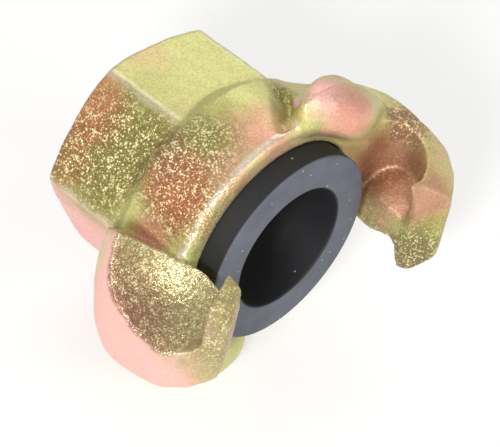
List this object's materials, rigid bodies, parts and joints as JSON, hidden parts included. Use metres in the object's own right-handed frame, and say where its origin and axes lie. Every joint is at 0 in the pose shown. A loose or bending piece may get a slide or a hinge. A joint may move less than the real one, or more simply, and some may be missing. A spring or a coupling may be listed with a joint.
{
  "type": "claw hose coupling",
  "caption": "Claw hose coupling half: hooked claws and cam ears round a flange, a rubber seal ring in its face, and a spanner hexagon with a female pipe thread.",
  "frame": {"origin": "centre of the pipe thread where it begins, 1.2 mm inside the hexagon's end face", "axes": "+X along the pipe axis towards the sealing face, +Y towards one claw, +Z towards a hexagon flat"},
  "size_m": [0.0463, 0.0654, 0.0532],
  "materials": {
    "body": "zinc plated and yellow passivated, rough cast",
    "seal": "matte, moulded"
  },
  "bodies": {
    "root": {"coupling_body": "body", "seal_ring": "seal"}
  },
  "joints": []
}
